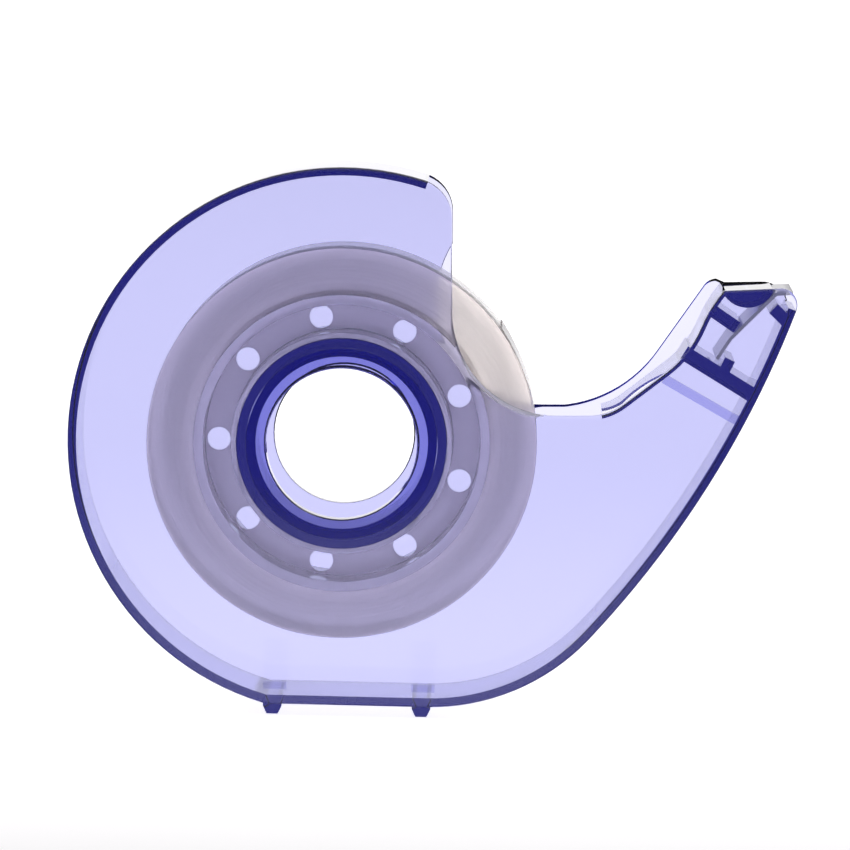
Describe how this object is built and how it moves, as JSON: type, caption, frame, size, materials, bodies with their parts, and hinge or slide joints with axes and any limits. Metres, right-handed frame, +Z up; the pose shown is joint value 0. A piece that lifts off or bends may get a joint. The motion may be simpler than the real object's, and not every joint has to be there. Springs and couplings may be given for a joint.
{
  "type": "tape dispenser",
  "caption": "Handheld snail-shaped dispenser for clear adhesive tape, in see-through tinted plastic with a finger hole, a curved arm and a toothed metal cutter.",
  "frame": {"origin": "centre of the footprint, on the surface that the two feet stand on", "axes": "+Z up, +X towards the cutter, +Y towards the rear wall, away from the front cover; the hub axis runs along Y"},
  "size_m": [0.087, 0.0226, 0.0658],
  "materials": {
    "housing_plastic": "clear polystyrene with a blue-violet tint",
    "blade_steel": "thin rolled steel strip",
    "core_plastic": "frosted natural polypropylene",
    "tape_film": "matt translucent film in many layers"
  },
  "bodies": {
    "housing": {"rear_shell": "housing_plastic", "cutter_blade": "blade_steel"},
    "cover": {"front_cover": "housing_plastic"},
    "roll": {"tape_core": "core_plastic", "tape_roll": "tape_film"}
  },
  "joints": [
    {"name": "roll_spin", "type": "hinge", "parent": "housing", "child": "roll", "pos_m": [-0.01067, 0, 0.03265], "axis": [0, -1, 0], "continuous": true},
    {"name": "cover_pull", "type": "slide", "parent": "housing", "child": "cover", "axis": [0, -1, 0], "range_m": [0, 0.03]}
  ]
}
